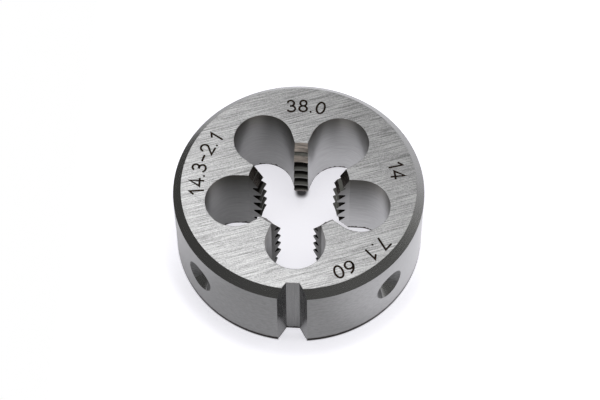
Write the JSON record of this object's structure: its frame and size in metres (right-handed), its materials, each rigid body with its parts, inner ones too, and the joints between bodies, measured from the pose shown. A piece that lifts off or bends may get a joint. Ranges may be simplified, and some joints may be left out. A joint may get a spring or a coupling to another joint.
{
  "type": "round threading die",
  "caption": "Solid round threading die with lands, through chip holes, lead chamfers, a V adjusting notch and set-screw dimples.",
  "frame": {"origin": "on the thread axis, at the lower face", "axes": "+Z along the thread axis towards the marked face, -Y towards the adjusting notch"},
  "size_m": [0.038, 0.0379, 0.014],
  "materials": {
    "tool_steel": "ground faces with fine straight scratches, satin rim and bores, bare high speed steel",
    "etched_mark": "dark electro-etched lines in the steel"
  },
  "bodies": {
    "root": {"die": "tool_steel"}
  },
  "joints": []
}
